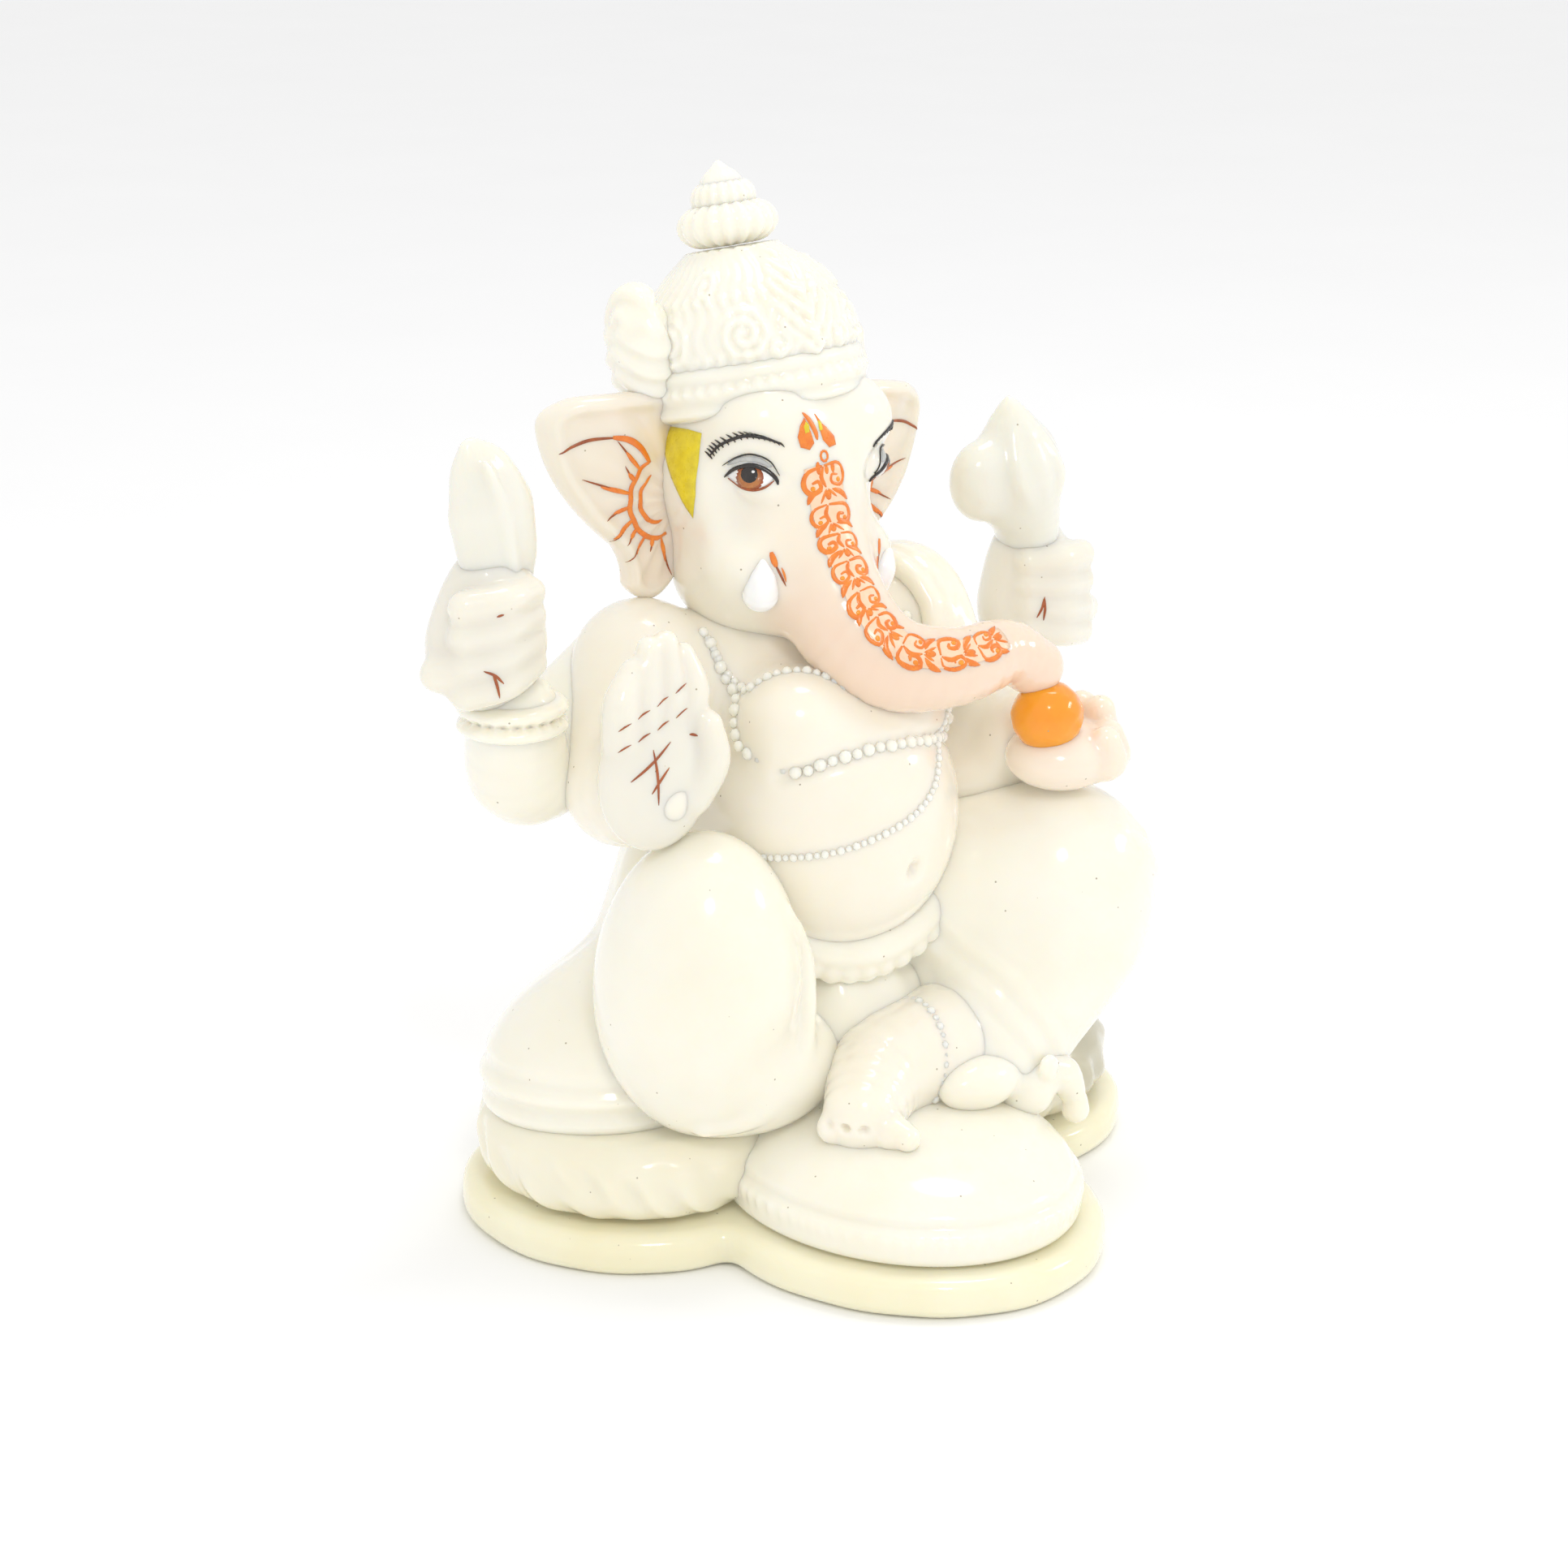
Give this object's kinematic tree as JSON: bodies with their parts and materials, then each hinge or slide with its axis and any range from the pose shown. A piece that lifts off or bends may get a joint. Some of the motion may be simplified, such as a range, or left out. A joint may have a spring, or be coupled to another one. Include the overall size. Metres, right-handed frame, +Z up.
{
  "type": "seated ganesha idol",
  "caption": "Tabletop statuette of a seated elephant-headed deity in glossy ivory resin, holding a sweet, with painted face, ears and trunk, on a lobed plinth.",
  "frame": {"origin": "middle of the bounding box's underside, on the plane the plinth stands on", "axes": "+Z up, the figure faces -Y, +X towards the figure's left hand side"},
  "size_m": [0.1002, 0.0728, 0.1227],
  "materials": {
    "ivory_resin": "high gloss, slightly translucent",
    "cream_resin": "high gloss, slightly translucent",
    "blush_resin": "high gloss, tinted warm over ivory",
    "white_resin": "high gloss",
    "marigold_paint": "gloss paint",
    "orange_paint": "brushed gloss paint",
    "yellow_paint": "brushed gloss paint",
    "dark_paint": "brushed gloss paint"
  },
  "bodies": {
    "root": {"base_plinth": "cream_resin", "seat_cushion": "ivory_resin", "foot_pad": "ivory_resin", "torso": "ivory_resin", "belly": "ivory_resin", "hip_drape": "ivory_resin", "head": "ivory_resin", "trunk": "blush_resin", "ear_right": "blush_resin", "ear_left": "blush_resin", "tusk_right": "white_resin", "tusk_left": "white_resin", "crown_band": "ivory_resin", "crown_dome": "ivory_resin", "crown_ring": "ivory_resin", "crown_bud": "ivory_resin", "crown_tip": "ivory_resin", "crown_rosette_right": "ivory_resin", "crown_rosette_left": "ivory_resin", "right_leg": "ivory_resin", "left_thigh": "ivory_resin", "left_shin": "ivory_resin", "left_foot": "ivory_resin", "front_arm_right": "ivory_resin", "blessing_hand": "blush_resin", "sweet_laddoo": "marigold_paint", "bowl_hand": "blush_resin", "front_arm_left": "ivory_resin", "rear_arm_right": "ivory_resin", "rear_cuff_right": "ivory_resin", "rear_hand_right": "blush_resin", "axe_blade": "ivory_resin", "rear_arm_left": "ivory_resin", "rear_cuff_left": "ivory_resin", "rear_hand_left": "blush_resin", "lotus_bud": "ivory_resin", "belt": "ivory_resin", "necklace": "ivory_resin", "shoulder_shawl": "ivory_resin", "mouse_body": "ivory_resin", "mouse_head": "ivory_resin"}
  },
  "joints": []
}
